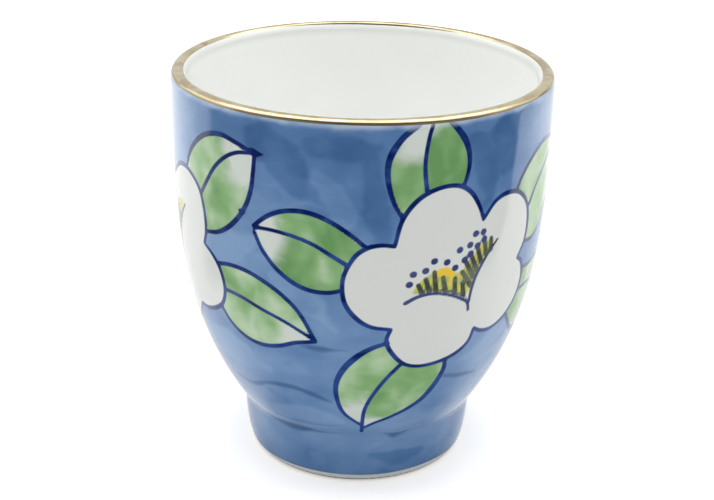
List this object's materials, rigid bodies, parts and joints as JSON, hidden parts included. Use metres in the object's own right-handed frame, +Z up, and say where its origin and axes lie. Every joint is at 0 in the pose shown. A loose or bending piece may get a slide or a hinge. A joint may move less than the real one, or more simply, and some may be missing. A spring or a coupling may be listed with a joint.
{
  "type": "teacup",
  "caption": "Handleless footed porcelain teacup with deep sides, a gilded rounded lip, glaze inside and out, and a tall foot ring with a bare resting edge.",
  "frame": {"origin": "on the cup's axis, level with the surface that the foot ring stands on", "axes": "+Z up along the cup's axis of rotation; -Y towards the painted flower that faces the front"},
  "size_m": [0.078, 0.078, 0.0842],
  "materials": {
    "bare_porcelain": "unglazed fired porcelain, matt and slightly rough",
    "blue_glaze": "glossy clear glaze over a hand-brushed blue wash with a camellia pattern",
    "white_glaze": "glossy clear glaze over white porcelain",
    "gilding": "pale burnished gold over the glaze, slightly worn"
  },
  "bodies": {
    "root": {"bowl": "bare_porcelain", "foot_ring": "bare_porcelain", "outer_glaze": "blue_glaze", "inner_glaze": "white_glaze", "base_glaze": "white_glaze", "gilt_rim": "gilding"}
  },
  "joints": []
}
